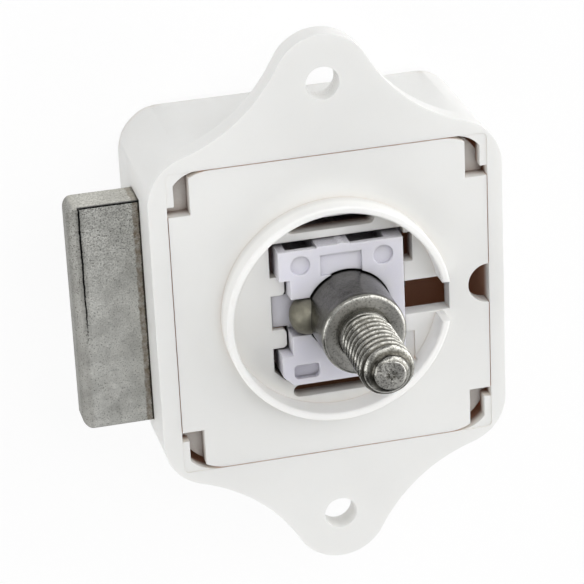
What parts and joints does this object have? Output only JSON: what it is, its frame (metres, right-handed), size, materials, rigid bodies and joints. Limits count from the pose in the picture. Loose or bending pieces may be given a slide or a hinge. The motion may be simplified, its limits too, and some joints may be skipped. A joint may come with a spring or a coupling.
{
  "type": "pushbutton lock",
  "caption": "Rim-mounted push lock for furniture and caravan doors: white housing, round collar, threaded stud for a knob and a sliding side bolt.",
  "frame": {"origin": "Middle of the two screw holes, on the face of the housing that lies against the door.", "axes": "+Z out through the door along the stud, +Y from the middle to one ear along the row of screw holes, -X the way the bolt points; the lock lies on its closed back."},
  "size_m": [0.0485, 0.0642, 0.037],
  "materials": {
    "white_plastic": "moulded, lightly satin",
    "white_plastic_cover": "moulded, lightly satin, slightly greyer",
    "lilac_plastic": "waxy moulded, slightly translucent",
    "bright_nickel": "bright plated, turned",
    "satin_nickel": "turned, slightly dull",
    "satin_zinc": "cast, tumbled, satin",
    "spring_steel": "drawn wire, oiled"
  },
  "bodies": {
    "case": {"housing": "white_plastic", "cover_plate": "white_plastic_cover", "catch_leaf": "spring_steel"},
    "plunger": {"slider": "lilac_plastic", "stud": "bright_nickel", "stud_key": "satin_nickel", "stud_clip": "spring_steel", "push_spring": "spring_steel"},
    "side_bolt": {"bolt": "satin_zinc", "bolt_pins": "spring_steel"},
    "catch": {"catch_wire": "spring_steel"}
  },
  "joints": [
    {"name": "push", "type": "slide", "parent": "case", "child": "plunger", "axis": [0, 0, 1], "range_m": [0, 0.0072], "deforming": ["push_spring"]},
    {"name": "bolt_slide", "type": "slide", "parent": "case", "child": "side_bolt", "axis": [1, 0, 0], "range_m": [0, 0.0081]},
    {"name": "catch_swing", "type": "hinge", "parent": "case", "child": "catch", "pos_m": [0.0086, 0, -0.0143], "axis": [1, 0, 0], "range_deg": [0, 16]}
  ],
  "couplings": [
    {"joint": "bolt_slide", "follows": "push", "ratio": 1.125},
    {"joint": "catch_swing", "follows": "push", "rad_per_m": 38.78}
  ]
}
